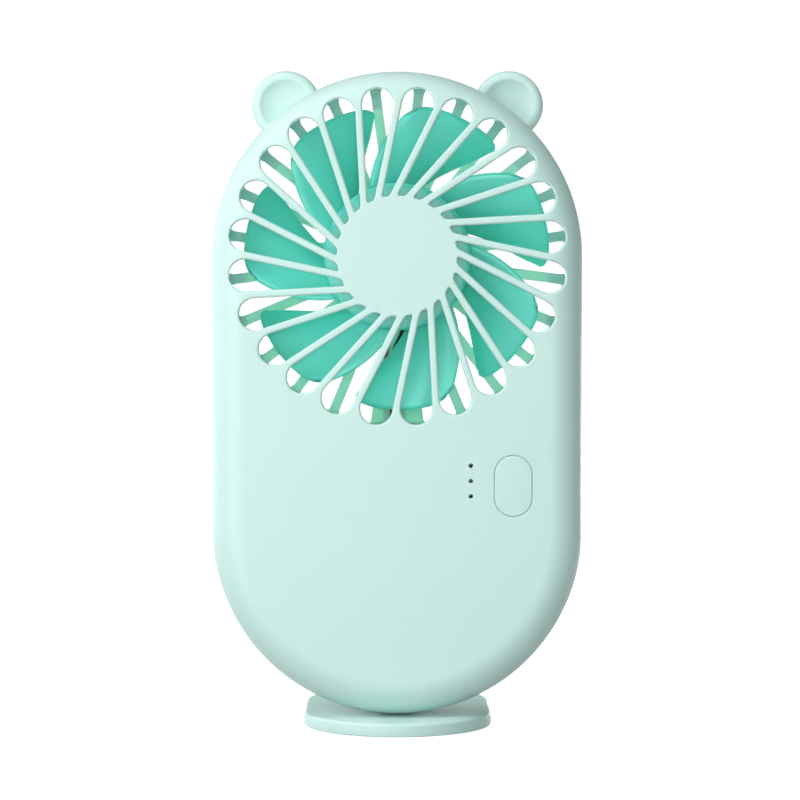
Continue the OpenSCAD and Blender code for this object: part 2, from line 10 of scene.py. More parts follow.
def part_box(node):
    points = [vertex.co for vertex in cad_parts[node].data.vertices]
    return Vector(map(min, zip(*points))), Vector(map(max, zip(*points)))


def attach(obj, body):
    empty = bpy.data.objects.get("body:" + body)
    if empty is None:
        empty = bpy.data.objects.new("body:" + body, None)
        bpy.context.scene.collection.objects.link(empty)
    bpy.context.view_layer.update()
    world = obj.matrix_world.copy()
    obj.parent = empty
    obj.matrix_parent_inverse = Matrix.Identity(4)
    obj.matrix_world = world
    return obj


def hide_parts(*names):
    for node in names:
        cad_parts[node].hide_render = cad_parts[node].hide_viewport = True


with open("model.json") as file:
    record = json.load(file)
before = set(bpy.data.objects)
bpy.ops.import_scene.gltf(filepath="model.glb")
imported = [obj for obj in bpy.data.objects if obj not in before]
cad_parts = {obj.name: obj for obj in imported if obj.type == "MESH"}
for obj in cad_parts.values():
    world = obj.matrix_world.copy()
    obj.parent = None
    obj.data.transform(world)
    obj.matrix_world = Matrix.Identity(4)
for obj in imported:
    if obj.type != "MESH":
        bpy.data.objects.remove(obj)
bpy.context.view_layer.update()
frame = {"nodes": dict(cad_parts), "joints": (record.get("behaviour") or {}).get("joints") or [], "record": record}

# Pieces of the fan are worked out lying on their back, in millimetres, around the grille's
# centre: x to the right, y up, z to the front. stand_up() turns them into frame metres.
MM = 0.001


def size_of(node):
    low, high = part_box(node)
    return (high - low) / MM


# The case. The grille's centre and the outer size come from the frame.
spin = next(j for j in frame["joints"] if j["name"] == "impeller_spin")
GRILLE_Z = spin["pos_m"][2] / MM
BODY_R = size_of("front_shell").x / 2
DROP = size_of("front_shell").z - 2 * BODY_R
HALF_T = -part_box("front_shell")[0].y / MM
EDGE_R = 6.0
WALL = 1.6
FACE_T = 1.7
INNER_R = BODY_R - WALL
INNER_Z = HALF_T - FACE_T
SEAM_RIM_R = 0.22

# The two grilles.
SLOT_COUNT = 24
SLOT_STEP = 360 / SLOT_COUNT
SLOT_REACH = 30.0
HUB_DISC_R = 10.7
RIB_W = 1.28
SWIRL = 5.4
RIB_START = 3.1
BACK_RIB_W = 1.8
MOUNT_R = 13.5
THIN_BEYOND_SLOTS = 0.8
DUCT_WALL = 1.5

# The strut's channel for the motor leads, between two ridges.
CHANNEL_X = -0.55
RIDGE_OFF = 1.6
RIDGE_HALF_W = 0.3
RIDGE_H = 0.8

# Small parts in the front face and in the back.
BUTTON_FLANGE = 0.8
BUTTON_HOLE_GAP = 0.04
PINHOLE_D = 0.75
LIGHT_L = 0.8
PORT_GAP = 0.7
SOCKET_FLANGE = 2.0
SOCKET_GAP = 0.03
WELL_R = 1.9
WELL_DEPTH = 4.0
SCREW_HOLE_R = 0.95
BOSS_R = 3.0
BOSS_DEPTH = 5.2


def middle_of(node):
    """Centre of a CAD node's box, lying, in millimetres."""
    low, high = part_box(node)
    mid = (low + high) / 2 / MM
    return np.array([mid.x, mid.z - GRILLE_Z, -mid.y])


def stand_up(points):
    p = np.asarray(points, float)
    return np.stack([p[:, 0], -p[:, 2], p[:, 1] + GRILLE_Z], 1) * MM


def along(degrees):
    a = np.radians(degrees)
    return np.stack([np.cos(a), np.sin(a)], -1)


def turned(p, degrees):
    a = np.radians(degrees)
    c, s = np.cos(a), np.sin(a)
    return np.stack([p[..., 0] * c - p[..., 1] * s, p[..., 0] * s + p[..., 1] * c], -1)


# ---- Materials ----------------------------------------------------------


def node_at(tree, kind, **values):
    n = tree.nodes.new(kind)
    for key, value in values.items():
        if hasattr(n, key):
            setattr(n, key, value)
        else:
            n.inputs[key].default_value = value
    return n


def linear(r, g, b):
    """An sRGB colour of 0 to 255 as linear values."""
    def one(c):
        c = c / 255
        return c / 12.92 if c <= 0.04045 else ((c + 0.055) / 1.055) ** 2.4
    return (one(r), one(g), one(b), 1.0)


def mixed(tree, amount, a, b):
    n = tree.nodes.new("ShaderNodeMix")
    n.data_type = "RGBA"
    n.inputs["A"].default_value = a
    n.inputs["B"].default_value = b
    tree.links.new(amount, n.inputs["Factor"])
    return n.outputs["Result"]


def ranged(tree, value, low, high, from_low=0.0, from_high=1.0):
    n = tree.nodes.new("ShaderNodeMapRange")
    n.inputs["From Min"].default_value = from_low
    n.inputs["From Max"].default_value = from_high
    n.inputs["To Min"].default_value = low
    n.inputs["To Max"].default_value = high
    tree.links.new(value, n.inputs["Value"])
    return n.outputs["Result"]


def shade(colour, factor):
    """A colour made lighter or darker, never past white."""
    return tuple(min(c * factor, 1.0) for c in colour[:3]) + (1.0,)


ROUGH_SPREAD = 0.06
CLOUD_SCALE = 45.0
WORN_FROM, WORN_TO = 0.53, 0.62
WORN_LIGHTER = 1.12
RELIEF = 0.2 * MM


def surface(name, colour, rough, metal=0.0, grain=900.0, bump=0.04, variation=0.03, wear=0.0,
            scatter=0.0, scatter_mm=1.0, scatter_tint=(0.6, 1.0, 0.9), coat=0.0,
            stretch=(1, 1, 1)):
    """A moulded or machined surface: cloudy colour, fine grain, worn edges."""
    m = bpy.data.materials.new(name)
    m.use_nodes = True
    t = m.node_tree
    shader = t.nodes["Principled BSDF"]
    shader.inputs["Metallic"].default_value = metal
    shader.inputs["Coat Weight"].default_value = coat
    shader.inputs["Subsurface Weight"].default_value = scatter
    shader.inputs["Subsurface Radius"].default_value = scatter_tint
    shader.inputs["Subsurface Scale"].default_value = scatter_mm * MM
    where = t.nodes.new("ShaderNodeTexCoord").outputs["Object"]
    spread = t.nodes.new("ShaderNodeMapping")
    spread.inputs["Scale"].default_value = stretch
    t.links.new(where, spread.inputs["Vector"])
    cloud = node_at(t, "ShaderNodeTexNoise", Scale=CLOUD_SCALE, Detail=3.0)
    fine = node_at(t, "ShaderNodeTexNoise", Scale=grain, Detail=2.0)
    for n in (cloud, fine):
        t.links.new(spread.outputs["Vector"], n.inputs["Vector"])
    tone = mixed(t, cloud.outputs["Fac"],
                 shade(colour, 1 - variation), shade(colour, 1 + variation))
    if wear:
        edge = t.nodes.new("ShaderNodeNewGeometry").outputs["Pointiness"]
        worn = ranged(t, edge, 0.0, wear, WORN_FROM, WORN_TO)
        n = t.nodes.new("ShaderNodeMix")
        n.data_type = "RGBA"
        n.inputs["B"].default_value = shade(colour, WORN_LIGHTER)
        t.links.new(worn, n.inputs["Factor"])
        t.links.new(tone, n.inputs["A"])
        tone = n.outputs["Result"]
    t.links.new(tone, shader.inputs["Base Color"])
    uneven = ranged(t, cloud.outputs["Fac"], rough - ROUGH_SPREAD, rough + ROUGH_SPREAD, 0.3, 0.7)
    t.links.new(uneven, shader.inputs["Roughness"])
    relief = node_at(t, "ShaderNodeBump", Strength=bump, Distance=RELIEF)
    t.links.new(fine.outputs["Fac"], relief.inputs["Height"])
    t.links.new(relief.outputs["Normal"], shader.inputs["Normal"])
    return m


MINT = linear(184, 218, 211)
# Greener mint for the rear grille's ribs: the same mint plastic with painted teal bounce light.
REAR_MINT_PAINTED_BOUNCE = linear(180, 238, 208)
TEAL = linear(98, 217, 202)

# Light comes through the thin ribs of the rear grille, so their mint is translucent. Their mint is also greener
# and lighter than the case's: a painted teal glow standing in for light bounced off the blades onto the shaded
# ribs.
finish = {
    "mint_plastic": surface("mint_plastic", MINT, rough=0.5, grain=2600, bump=0.05,
                            variation=0.012, wear=0.25, scatter=0.08),
    "thin_mint_plastic": surface("thin_mint_plastic", REAR_MINT_PAINTED_BOUNCE, rough=0.5, grain=2600, bump=0.05,
                                 variation=0.012, wear=0.2, scatter=0.7, scatter_mm=5.0,
                                 scatter_tint=(0.6, 1.0, 0.8)),
    "teal_plastic": surface("teal_plastic", TEAL, rough=0.38, grain=2000, bump=0.03, variation=0.02,
                            wear=0.3, scatter=0.6, scatter_mm=1.5, scatter_tint=(0.15, 1.0, 0.75)),
    "motor_steel": surface("motor_steel", (0.6, 0.61, 0.62, 1), 0.32, metal=1,
                           stretch=(1, 40, 1), grain=300, variation=0.06, wear=0.4),
    "magnet": surface("magnet", (0.07, 0.07, 0.08, 1), 0.6, grain=1500, bump=0.2),
    "laminations": surface("laminations", (0.33, 0.35, 0.38, 1), 0.45, metal=1,
                           stretch=(1, 1400, 1), grain=3, bump=0.5),
    "bronze": surface("bronze", (0.65, 0.4, 0.17, 1), 0.45, metal=1, grain=3000, bump=0.15),
    "copper": surface("copper", (0.7, 0.3, 0.13, 1), 0.35, metal=1, grain=900, bump=0.3,
                      variation=0.1),
    "black_plastic": surface("black_plastic", (0.025, 0.025, 0.028, 1), 0.5, grain=1800),
    "grey_plastic": surface("grey_plastic", (0.3, 0.33, 0.33, 1), 0.5, grain=1800),
    "white_plastic": surface("white_plastic", (0.84, 0.85, 0.84, 1), 0.3, grain=1200, coat=0.2),
    "board_green": surface("board_green", (0.02, 0.2, 0.09, 1), 0.35, grain=1100, bump=0.12,
                           variation=0.15),
    "chip_black": surface("chip_black", (0.02, 0.02, 0.022, 1), 0.62, grain=3000, bump=0.15),
    "component_tan": surface("component_tan", (0.48, 0.37, 0.24, 1), 0.45, grain=2500),
    "plated_steel": surface("plated_steel", (0.56, 0.57, 0.59, 1), 0.3, metal=1, grain=700,
                            variation=0.05, wear=0.3),
    "battery_foil": surface("battery_foil", (0.66, 0.68, 0.7, 1), 0.34, metal=1, grain=260,
                            bump=0.4),
    "grey_foam": surface("grey_foam", (0.34, 0.35, 0.36, 1), 0.85, grain=1600, bump=0.6),
    "black_rubber": surface("black_rubber", (0.025, 0.025, 0.025, 1), 0.7, grain=1400, bump=0.2),
    "lead_red": surface("lead_red", (0.5, 0.015, 0.015, 1), 0.4, grain=900),
    "lead_black": surface("lead_black", (0.015, 0.015, 0.015, 1), 0.4, grain=900),
    "pad_rubber": surface("pad_rubber", (0.6, 0.66, 0.65, 1), 0.75, grain=1500, bump=0.25),
}

slot_of = {s["node"]: s["material_slot"] for s in frame["record"]["subparts"]}


def coat_cad_nodes():
    for name, obj in frame["nodes"].items():
        obj.data.materials.clear()
        obj.data.materials.append(finish[slot_of[name]])


# ---- Mesh helpers -------------------------------------------------------


def facing_out(points, faces, normals):
    """Turns over the faces whose own normal goes against their corners' normals."""
    p, n = np.asarray(points, float), np.asarray(normals, float)
    ids = np.array([tuple(f[:4]) + (f[0],) * (4 - len(f)) for f in faces])
    c = p[ids]
    arm = c[:, 1:] - c[:, :1]
    own = np.cross(arm[:, 0], arm[:, 1]) + np.cross(arm[:, 1], arm[:, 2])
    wrong = (own * n[ids].sum(1)).sum(1) < 0
    return [f[::-1] if w else f for f, w in zip(faces, wrong)]


def piece(name, points, faces, node, normals=None, body="fan", lying=True):
    """Makes a mesh object that stands for a CAD node, in that node's material. With normals,
    its faces are turned to agree with them and it is shaded by them."""
    mesh = bpy.data.meshes.new(name)
    if normals is not None:
        faces = facing_out(points, faces, normals)
    where = stand_up(points) if lying else np.asarray(points, float) * MM
    mesh.from_pydata(where.tolist(), [], [list(map(int, f)) for f in faces])
    mesh.validate()
    mesh.shade_smooth()
    obj = bpy.data.objects.new(name, mesh)
    bpy.context.scene.collection.objects.link(obj)
    if normals is not None:
        n = np.asarray(normals, float)
        if lying:
            n = np.stack([n[:, 0], -n[:, 2], n[:, 1]], 1)
        n = n / np.maximum(np.linalg.norm(n, axis=1, keepdims=True), 1e-9)
        mesh.normals_split_custom_set_from_vertices(n.tolist())
    mesh.materials.append(finish[slot_of[node]])
    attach(obj, body)
    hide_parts(node)
    return obj


class Build:
    """Collects points, their normals and faces of one mesh."""

    def __init__(self):
        self.points, self.normals, self.faces = [], [], []

    def add(self, points, normals):
        first = len(self.points)
        self.points += [tuple(p) for p in points]
        self.normals += [tuple(n) for n in normals]
        return np.arange(first, first + len(points))

    def strip(self, a, b, closed=True):
        """Quads between two rows of vertex numbers."""
        n = len(a)
        for i in range(n if closed else n - 1):
            j = (i + 1) % n
            self.faces.append((a[i], a[j], b[j], b[i]))

    def lathe(self, profile, normals, centre=(0, 0), steps=96, flip=False):
        """Revolves (radius, z) points about an axis along z through centre. A radius of zero
        gives a single point."""
        rows = []
        turn = along(np.arange(steps) * 360 / steps)
        for (r, z), (nr, nz) in zip(profile, normals):
            if r < 1e-6:
                rows.append(self.add([(centre[0], centre[1], z)], [(0, 0, nz)]))
                continue
            ring = [(centre[0] + r * c, centre[1] + r * s, z) for c, s in turn]
            rows.append(self.add(ring, [(nr * c, nr * s, nz) for c, s in turn]))
        for a, b in zip(rows, rows[1:]):
            if len(a) == 1 and len(b) == 1:
                continue
            for i in range(steps):
                j = (i + 1) % steps
                if len(a) == 1:
                    face = (a[0], b[j], b[i])
                elif len(b) == 1:
                    face = (a[i], a[j], b[0])
                else:
                    face = (a[i], a[j], b[j], b[i])
                self.faces.append(face[::-1] if flip else face)


def path_normals(profile):
    """Outward normals of a (radius, z) polyline that runs upwards on its outside."""
    p = np.asarray(profile, float)
    step = np.gradient(p, axis=0)
    n = np.stack([step[:, 1], -step[:, 0]], 1)
    return n / np.maximum(np.linalg.norm(n, axis=1, keepdims=True), 1e-9)


def arc(cx, cz, r, a0, a1, n):
    """Points on a circle from one angle to another, in degrees."""
    a = np.radians(np.linspace(a0, a1, n))
    return [(cx + r * math.cos(t), cz + r * math.sin(t)) for t in a]


# ---- Holes in a cover ---------------------------------------------------
# A hole kind gives the distance of points from its nearest hole (negative inside), the loops
# of points around each hole at a given distance, and the radius of its rounded edge.


def rounded_and(a, b, r):
    """Distance from where both a and b are negative, with corners of radius r."""
    a, b = a + r, b + r
    return np.hypot(np.maximum(a, 0), np.maximum(b, 0)) - r + np.minimum(np.maximum(a, b), 0)


def slope(distance, p, step=0.002):
    """Direction in which a distance grows fastest."""
    gx = distance(p + [step, 0]) - distance(p - [step, 0])
    gy = distance(p + [0, step]) - distance(p - [0, step])
    g = np.stack([gx, gy], 1) / (2 * step)
    return g / np.maximum(np.linalg.norm(g, axis=1, keepdims=True), 1e-9)


def pulled(distance, loop, level):
    """Moves a loop's points onto the line that lies at a distance of level."""
    for _ in range(6):
        loop = loop - (distance(loop) - level)[:, None] * slope(distance, loop)
    return loop


class Wedge:
    """A slot between two straight sides that open by a step, from an inner to an outer arc."""

    def __init__(self, apex, heading, half_angle, inner_r, outer_r, corner, end_at=None, end_r=0.0):
        self.apex = np.asarray(apex, float)
        self.heading = heading
        self.half = math.radians(half_angle)
        self.inner_r, self.outer_r, self.corner = inner_r, outer_r, corner
        self.end_at, self.end_r = end_at, end_r

    def distance(self, p):
        q = turned(p - self.apex, -self.heading)
        w = np.abs(q[..., 1])
        side = w * math.cos(self.half) - q[..., 0] * math.sin(self.half)
        if self.end_at is not None:
            run = q[..., 0] * math.cos(self.half) + w * math.sin(self.half)
            reach = np.linalg.norm(self.end_at - self.apex) * math.cos(self.half)
            round_end = np.linalg.norm(p - self.end_at, axis=-1) - self.end_r
            side = np.where(run > reach, round_end, side)
        r = np.linalg.norm(p, axis=-1)
        d = rounded_and(side, self.inner_r - r, self.corner)
        return d if self.end_at is not None else rounded_and(d, r - self.outer_r, self.corner * 1.6)

    def rough_loop(self, n):
        """Points all round the slot, not yet on its edge."""
        along_it = turned(np.array([[1.0, 0.0]]), self.heading)[0]
        r = np.linspace(self.inner_r, self.outer_r, n)
        ahead = self.apex @ along_it
        t = -ahead + np.sqrt(ahead ** 2 - self.apex @ self.apex + r ** 2)
        spine = self.apex + t[:, None] * along_it
        width = np.maximum(t * math.tan(self.half), 0.3) * 0.96
        across_it = turned(along_it, 90)
        left = spine + width[:, None] * across_it
        right = spine - width[:, None] * across_it
        tip = [spine[-1] + width[-1] * turned(along_it, a) for a in np.linspace(-75, 75, 13)]
        root = [spine[0] + width[0] * turned(along_it, a) * 0.8 for a in (120, 180, 240)]
        if self.end_at is not None:
            keep = t < np.linalg.norm(self.end_at - self.apex)
            left, right = left[keep], right[keep]
            tip = [self.end_at + self.end_r * turned(along_it, a) for a in np.linspace(-80, 80, 15)]
        return np.concatenate([right, tip, left[::-1], root])


def swirl_wedge():
    """The front slot between two ribs, with a round outer end that touches both of them."""
    near, far = SWIRL + RIB_W / 2, SWIRL - RIB_W / 2
    step = math.radians(SLOT_STEP)
    apex = np.array([(near * math.cos(step) - far) / math.sin(step), near])
    flare = 1 / math.sin(step / 2)
    out = apex @ along(SLOT_STEP / 2)
    a = flare ** 2 - 1
    b = 2 * flare * out + 2 * SLOT_REACH
    c = apex @ apex - SLOT_REACH ** 2
    end_r = (-b + math.sqrt(b * b - 4 * a * c)) / (2 * a)
    end_at = apex + flare * end_r * along(SLOT_STEP / 2)
    return Wedge(apex, SLOT_STEP / 2, SLOT_STEP / 2, HUB_DISC_R, SLOT_REACH, 0.3, end_at, end_r)


class FrontSlots:
    """The swirled slots of the front grille."""
    edge = 0.42

    def __init__(self):
        self.one = swirl_wedge()

    def distance(self, p):
        r = np.maximum(np.linalg.norm(p, axis=-1), SWIRL + 0.01)
        angle = np.degrees(np.arctan2(p[..., 1], p[..., 0]) - np.arcsin(SWIRL / r))
        which = np.floor((angle - RIB_START) / SLOT_STEP)
        return self.one.distance(turned(p, -(RIB_START + which * SLOT_STEP)))

    def loops(self, level):
        base = pulled(self.one.distance, self.one.rough_loop(26), level)
        return [turned(base, RIB_START + i * SLOT_STEP) for i in range(SLOT_COUNT)]


class BackSlots:
    """Radial slots. The place at six o'clock has none, for the strut that carries the leads."""
    edge = 0.4

    def __init__(self):
        apex = [BACK_RIB_W / 2 / math.sin(math.radians(SLOT_STEP / 2)), 0]
        self.one = Wedge(apex, 0, SLOT_STEP / 2, MOUNT_R, INNER_R - 0.1, 0.7)

    def distance(self, p):
        angle = np.degrees(np.arctan2(p[..., 1], p[..., 0])) + 90
        which = np.round(angle / SLOT_STEP)
        beside = which + np.where(angle > which * SLOT_STEP, 1, -1)
        which = np.where(which % SLOT_COUNT == 0, beside, which)
        return self.one.distance(turned(p, 90 - which * SLOT_STEP))

    def loops(self, level):
        base = pulled(self.one.distance, self.one.rough_loop(24), level)
        return [turned(base, i * SLOT_STEP - 90) for i in range(1, SLOT_COUNT)]


class Bars:
    """Round-ended holes of one size; a width equal to the length gives round holes."""

    def __init__(self, centres, width, length, edge, n):
        self.centres = [np.asarray(c, float) for c in centres]
        self.half_run = (length - width) / 2
        self.r = width / 2
        self.edge = edge
        self.n = n

    def distance(self, p):
        best = None
        for c in self.centres:
            q = p - c
            y = np.clip(q[..., 1], -self.half_run, self.half_run)
            d = np.hypot(q[..., 0], q[..., 1] - y) - self.r
            best = d if best is None else np.minimum(best, d)
        return best

    def loops(self, level):
        r = self.r + level
        if self.half_run:
            half = self.n // 2
            top = along(np.linspace(0, 180, half)) * r + [0, self.half_run]
            low = along(np.linspace(180, 360, half)) * r - [0, self.half_run]
            ring = np.concatenate([top, low])
        else:
            ring = along(np.arange(self.n) * 360 / self.n) * r
        return [ring + c for c in self.centres]


# ---- Cover --------------------------------------------------------------

# Spacing of the points that fill the flat face, and how far they keep from what is round it.
FILL_PITCH = 1.6
FILL_FROM_ROLL = 0.5
FILL_FROM_HOLES = 0.4
ROLL_FROM_HOLES = 0.25
ROLL_FROM_WALL = 0.12
# Angles round the lip of a hole.
LIP_ANGLES = (0, 20, 45, 70, 90)
# Heights of the extra rows of points up the side wall.
WALL_ROWS = {1.2, 2.4, 4.4}
# How far parts inside a cover reach into it, and how far the duct stays off the seam.
BITE = 0.3
DUCT_FROM_SEAM = 0.02
UNDER_SKIN = 0.4


def inset_of(p):
    """Distance of points inside the body's outline."""
    y = np.clip(p[..., 1], -DROP, 0)
    return BODY_R - np.hypot(p[..., 0], p[..., 1] - y)


def outward_of(p):
    """Direction from a point to the nearest part of the body's outline."""
    y = np.clip(p[..., 1], -DROP, 0)
    q = np.stack([p[..., 0], p[..., 1] - y], -1)
    return q / np.maximum(np.linalg.norm(q, axis=-1, keepdims=True), 1e-9)


def rolled(inset, depth, edge):
    """Height of a face with a rolled edge, and how far its normal leans outwards."""
    lean = np.clip(edge - inset, 0, edge) / edge
    return depth - edge + edge * np.sqrt(np.maximum(1 - lean ** 2, 0)), lean


def outline(inset, cuts):
    """Points round the body at an inset, with the same steps at every inset. cuts lists extra
    (side, y) places on the straight sides and extra angles on the bottom."""
    r = BODY_R - inset
    top = [r * v for v in along(np.linspace(0, 180, 73))]
    steps = set(np.round(np.linspace(0, -DROP, 25)[1:-1], 4))
    ys = sorted(steps | set(cuts["side"]), reverse=True)
    left = [np.array([-r, y]) for y in ys]
    angles = sorted(set(np.linspace(180, 360, 73)) | set(cuts["bottom"]))
    low = [r * along(a) + [0, -DROP] for a in angles]
    right = [np.array([r, y]) for y in reversed(ys)]
    return np.array(top + left + low + right)


def roll_insets(edge):
    """Insets of even steps round a rolled edge."""
    angles = np.radians(np.linspace(0, 90, 15))
    return edge * (1 - np.cos(angles))


def cover(holes, windows, sign):
    """One half of the body as a closed skin. sign is 1 for the front and -1 for the back.
    windows are openings in the side wall: (kind, low, high, z0, z1)."""
    b = Build()
    cuts = {"side": set(), "bottom": set()}
    for kind, low, high, _, _ in windows:
        cuts["side" if kind == "right" else "bottom"] |= {low, high}

    pts, edges, loop_ids = [], [], []

    def put(loop, joined):
        first = len(pts)
        pts.extend(map(tuple, loop))
        ids = list(range(first, first + len(loop)))
        if joined:
            edges.extend(zip(ids, ids[1:] + ids[:1]))
        return ids

    def spare(loop, gap):
        d = np.min([h.distance(loop) - h.edge for h in holes], axis=0)
        return loop[d > gap]

    rim = put(outline(0, cuts), True)
    wall_line = put(outline(WALL, cuts), True)
    for inset in roll_insets(EDGE_R)[1:]:
        if abs(inset - WALL) > ROLL_FROM_WALL:
            put(spare(outline(inset, cuts), ROLL_FROM_HOLES), False)
    for h in holes:
        for k, a in enumerate(np.radians(LIP_ANGLES)):
            for loop in h.loops(h.edge * (1 - math.cos(a))):
                ids = put(loop, True)
                if k == 0:
                    loop_ids.append((h, ids))
    xs = np.arange(-BODY_R, BODY_R, FILL_PITCH)
    ys = np.arange(-DROP - BODY_R, BODY_R, FILL_PITCH)
    grid = np.array([(x + (j % 2) * FILL_PITCH / 2, y) for j, y in enumerate(ys) for x in xs])
    grid = spare(grid[inset_of(grid) > EDGE_R + FILL_FROM_ROLL], FILL_FROM_HOLES)
    put(grid, False)

    out = delaunay_2d_cdt([Vector(p) for p in pts], edges, [], 0, 1e-6)
    flat = np.array([(v.x, v.y) for v in out[0]])
    new_of = {}
    for new, olds in enumerate(out[3]):
        for old in olds:
            new_of[old] = new
    faces = [f for f in out[2] if len(f) == 3]
    mid = np.array([flat[list(f)].mean(0) for f in faces])
    solid = inset_of(mid) > 0
    for h in holes:
        solid &= h.distance(mid) > 0
    inside = inset_of(mid) > WALL

    inset = inset_of(flat)
    side = outward_of(flat)
    z, lean = rolled(inset, HALF_T, EDGE_R)
    normal = np.concatenate(
        [side * lean[:, None], np.sqrt(np.maximum(1 - lean ** 2, 0))[:, None]], 1)
    for h in holes:
        d = h.distance(flat)
        near = d < h.edge - 1e-6
        tip = np.clip((h.edge - d[near]) / h.edge, 0, 1)
        up = np.sqrt(1 - tip ** 2)
        z[near] -= h.edge * (1 - up)
        away = -slope(h.distance, flat[near])
        normal[near] = normal[near] * up[:, None] + np.concatenate(
            [away * tip[:, None], np.zeros((near.sum(), 1))], 1)
    z_in, lean_in = rolled(inset - WALL, INNER_Z, EDGE_R - WALL)
    normal_in = np.concatenate(
        [-side * lean_in[:, None], -np.sqrt(np.maximum(1 - lean_in ** 2, 0))[:, None]], 1)

    top = b.add(np.column_stack([flat, z]), normal)
    low = b.add(np.column_stack([flat, z_in]), normal_in)
    for f, keep, deep in zip(faces, solid, inside):
        if keep:
            b.faces.append(tuple(top[i] for i in f))
            if deep:
                b.faces.append(tuple(low[i] for i in reversed(f)))

    for h, ids in loop_ids:
        new = [new_of[i] for i in ids]
        rows = []
        away = -slope(h.distance, flat[new])
        for heights in (z[new], z_in[new]):
            rows.append(b.add(np.column_stack([flat[new], heights]),
                              np.column_stack([away, np.zeros(len(new))])))
        b.strip(rows[1], rows[0])

    side_wall(b, cuts, windows,
              [top[new_of[i]] for i in rim], [low[new_of[i]] for i in wall_line])
    b.points = [(x, y, sign * zz) for x, y, zz in b.points]
    b.normals = [(x, y, sign * zz) for x, y, zz in b.normals]
    if sign < 0:
        b.faces = [f[::-1] for f in b.faces]
    return b


def side_wall(b, cuts, windows, top_row, inner_top_row):
    """The wall from the rolled edge down to the seam, its rounded rim and its inner side."""
    shoulder = HALF_T - EDGE_R
    levels = {shoulder} | WALL_ROWS | {z for w in windows for z in w[3:] if z > 0}
    levels = sorted(z for z in levels if z <= shoulder)
    base = outline(0, cuts)
    out_n = np.column_stack([outward_of(base), np.zeros(len(base))])

    def ring(z, inset, normals):
        return b.add(np.column_stack([outline(inset, cuts), np.full(len(base), z)]), normals)

    outer = [ring(z, 0, out_n) for z in levels[:-1]] + [top_row]
    inner = [ring(z, WALL, -out_n) for z in levels[:-1]] + [inner_top_row]
    curve = []
    for a in np.radians([0, 30, 60, 90]):
        n = out_n * math.cos(a) - [0, 0, math.sin(a)]
        curve.append(ring(SEAM_RIM_R * (1 - math.sin(a)), SEAM_RIM_R * (1 - math.cos(a)), n))
    down = np.tile([0.0, 0.0, -1.0], (len(base), 1))
    foot_in = ring(0, WALL, down)
    foot_in_side = ring(0, WALL, -out_n)
    n = len(base)

    def cut(i, z0, z1):
        """Whether the cell from point i, between two heights, is in a window."""
        j = (i + 1) % n
        m = (base[i] + base[j]) / 2
        for kind, low, high, w0, w1 in windows:
            if kind == "right":
                here = m[0] > 0 and low < m[1] < high
            else:
                angle = math.degrees(math.atan2(m[1] + DROP, m[0])) % 360
                here = m[1] < -DROP and low < angle < high
            if here and w0 < (z0 + z1) / 2 < w1:
                return True
        return False

    stack_out = [curve[0]] + outer
    stack_in = [foot_in_side] + inner
    heights = [0.0] + levels
    for k in range(len(heights) - 1):
        for i in range(n):
            j = (i + 1) % n
            if cut(i, heights[k], heights[k + 1]):
                jamb(b, stack_out, stack_in, cut, heights, k, i, n)
                continue
            low, high = stack_out[k], stack_out[k + 1]
            b.faces.append((low[i], low[j], high[j], high[i]))
            low, high = stack_in[k], stack_in[k + 1]
            b.faces.append((low[j], low[i], high[i], high[j]))
    for i in range(n):
        if cut(i, 0, heights[1]):
            continue
        j = (i + 1) % n
        for a, c in zip(curve, curve[1:]):
            b.faces.append((a[i], c[i], c[j], a[j]))
        b.faces.append((curve[-1][i], foot_in[i], foot_in[j], curve[-1][j]))


def jamb(b, out, inn, cut, heights, k, i, n):
    """Faces through the wall's thickness where an open cell meets a closed one."""
    j = (i + 1) % n

    def wall_face(o0, o1, i1, i0, normal):
        ids = b.add([b.points[v] for v in (o0, o1, i1, i0)], [normal] * 4)
        b.faces.append(tuple(ids))

    step = np.array(b.points[out[k][j]]) - np.array(b.points[out[k][i]])
    step = step / np.linalg.norm(step)
    if not cut((i - 1) % n, heights[k], heights[k + 1]):
        wall_face(out[k][i], out[k + 1][i], inn[k + 1][i], inn[k][i], step)
    if not cut(j, heights[k], heights[k + 1]):
        wall_face(out[k + 1][j], out[k][j], inn[k][j], inn[k + 1][j], -step)
    if k + 2 < len(heights) and not cut(i, heights[k + 1], heights[k + 2]):
        wall_face(out[k + 1][i], out[k + 1][j], inn[k + 1][j], inn[k + 1][i], (0, 0, -1))
    if k > 0 and not cut(i, heights[k - 1], heights[k]):
        wall_face(out[k][j], out[k][i], inn[k][i], inn[k][j], (0, 0, 1))


def duct_ring(b, z0, z1):
    """The lower half of the wall around the impeller, closed all round."""
    angles = np.linspace(178, 362, 93)
    spokes = along(angles)
    corners = [(INNER_R, z0), (INNER_R + DUCT_WALL, z0), (INNER_R + DUCT_WALL, z1), (INNER_R, z1)]
    sides = [(0, 0, -1), (1, 0, 0), (0, 0, 1), (-1, 0, 0)]

    def under_skin(r, h):
        """Ring of points at a radius, no higher than just under the body's outer surface."""
        flat = spokes * r
        top = rolled(inset_of(flat), HALF_T, EDGE_R)[0] - UNDER_SKIN
        return np.column_stack([flat, np.clip(h, -top, top)])

    for start, end, (nr, _, nz) in zip(corners, corners[1:] + corners[:1], sides):
        facing = [(nr * c, nr * s, nz) for c, s in spokes]
        b.strip(b.add(under_skin(*start), facing), b.add(under_skin(*end), facing), closed=False)
    for k, flip in ((0, False), (-1, True)):
        c, s = spokes[k]
        tangent = (s, -c, 0) if k == 0 else (-s, c, 0)
        ids = b.add([under_skin(r, h)[k] for r, h in corners], [tangent] * 4)
        b.faces.append(tuple(ids if flip else ids[::-1]))


def cap_size():
    """Width and length of the button's visible face."""
    size = size_of("button_cap")
    return size.x - 2 * BUTTON_FLANGE, size.z - 2 * BUTTON_FLANGE


